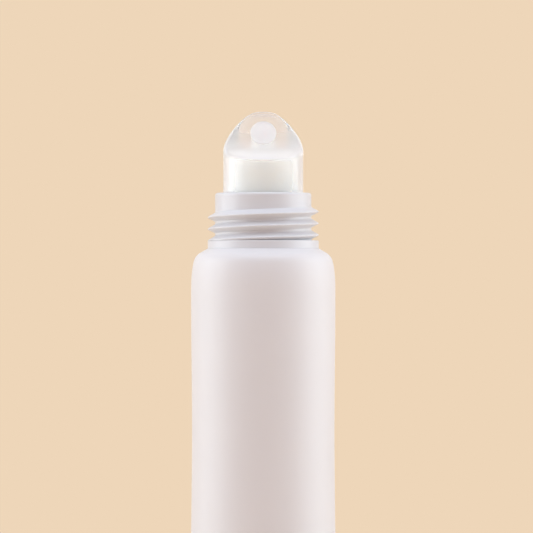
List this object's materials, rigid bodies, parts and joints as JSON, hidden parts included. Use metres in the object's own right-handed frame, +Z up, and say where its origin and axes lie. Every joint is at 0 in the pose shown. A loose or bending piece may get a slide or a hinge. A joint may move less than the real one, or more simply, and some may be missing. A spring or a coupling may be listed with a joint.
{
  "type": "lip balm tube",
  "caption": "Slim crimped squeeze tube, uncapped, with a threaded neck and a clear scooped applicator tip on a milky insert that pushes into the neck.",
  "frame": {"origin": "middle of the bottom edge of the crimped tail, which is the bottom centre of the bounding box", "axes": "+Z up the tube's axis towards the applicator; -Y is the front, which the scooped face and one flat of the crimped tail look towards; +X to the right, along the tail"},
  "size_m": [0.0294, 0.019, 0.0983],
  "materials": {
    "sleeve_plastic": "satin white extruded polyethylene",
    "head_plastic": "smooth white moulded polyethylene",
    "tip_plastic": "polished clear moulded plastic",
    "insert_plastic": "milky moulded polyethylene",
    "balm": "soft milky balm"
  },
  "bodies": {
    "tube": {"tube_sleeve": "sleeve_plastic", "tube_head": "head_plastic", "balm_fill": "balm"},
    "applicator": {"applicator_tip": "tip_plastic", "applicator_insert": "insert_plastic", "balm_in_tip": "balm"}
  },
  "joints": [
    {"name": "applicator_pull", "type": "slide", "parent": "tube", "child": "applicator", "axis": [0, 0, 1], "range_m": [0, 0.008]}
  ]
}
